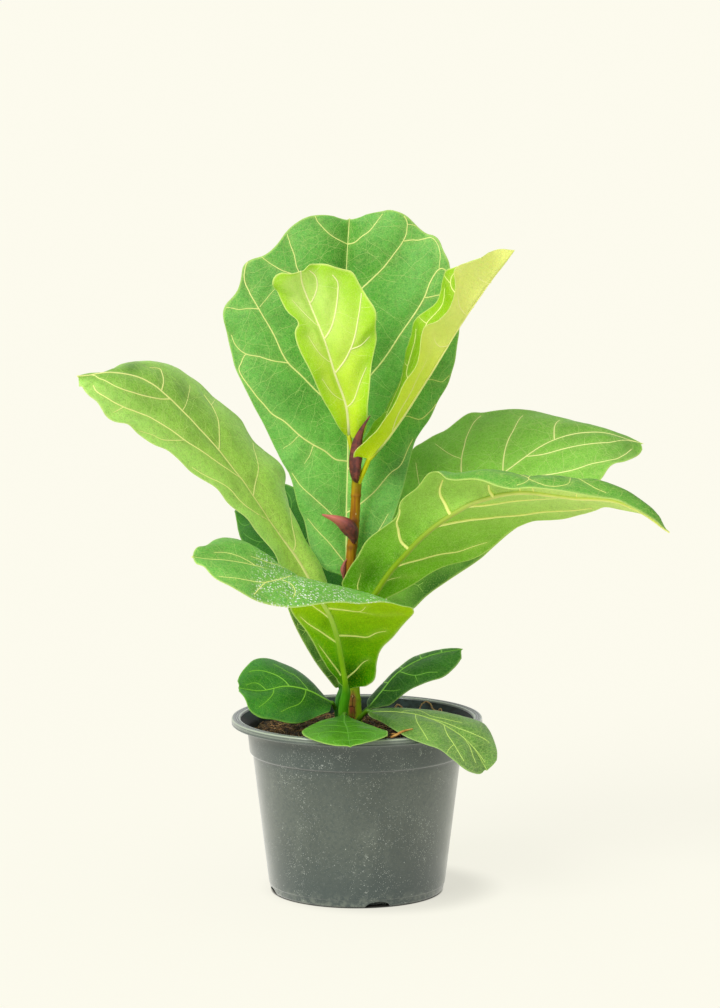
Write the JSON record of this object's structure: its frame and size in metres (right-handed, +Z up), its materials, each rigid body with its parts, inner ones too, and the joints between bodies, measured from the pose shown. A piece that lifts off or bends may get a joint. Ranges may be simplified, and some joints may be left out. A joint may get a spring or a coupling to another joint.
{
  "type": "potted fiddle leaf fig",
  "caption": "Young fiddle leaf fig with broad waved leaves on one upright stem, in a round dark plastic nursery pot filled with soil.",
  "frame": {"origin": "centre of the pot's base, on the surface that it stands on", "axes": "+Z up along the pot's axis, -Y towards the plant's front, +X to the right seen from the front"},
  "size_m": [0.376, 0.2996, 0.4448],
  "materials": {
    "pot_plastic": "dark grey-green moulded plastic, slightly shiny, with pale mineral specks and faint scuffs",
    "soil": "dark brown damp peat and bark crumbs with tan fibres",
    "root_skin": "thin dry tan root",
    "bark": "golden brown young bark turning green near the top and rusty at the foot",
    "stipule_skin": "dry papery maroon sheath, pink at the tip",
    "leaf_green": "waxy mid green upper face, lighter lime underside, pale yellow ribs and a fine net of veins",
    "leaf_lime": "thin soft bright lime young leaf with pale ribs",
    "leaf_dark": "older dark green leaf with a grey-green sheen and pale ribs"
  },
  "bodies": {
    "root": {"pot": "pot_plastic", "potting_soil": "soil", "surface_roots": "root_skin", "stem": "bark", "stipule_top": "stipule_skin", "stipule_middle": "stipule_skin", "stipule_low": "stipule_skin", "leaf_back_tall": "leaf_green", "leaf_young_centre": "leaf_lime", "leaf_young_right": "leaf_lime", "leaf_long_left": "leaf_green", "leaf_front_left": "leaf_green", "leaf_right_front": "leaf_green", "leaf_right_back": "leaf_green", "leaf_shaded_left": "leaf_dark", "leaf_small_left": "leaf_dark", "leaf_small_up_right": "leaf_dark", "leaf_small_low_right": "leaf_dark", "leaf_small_front": "leaf_dark"}
  },
  "joints": []
}
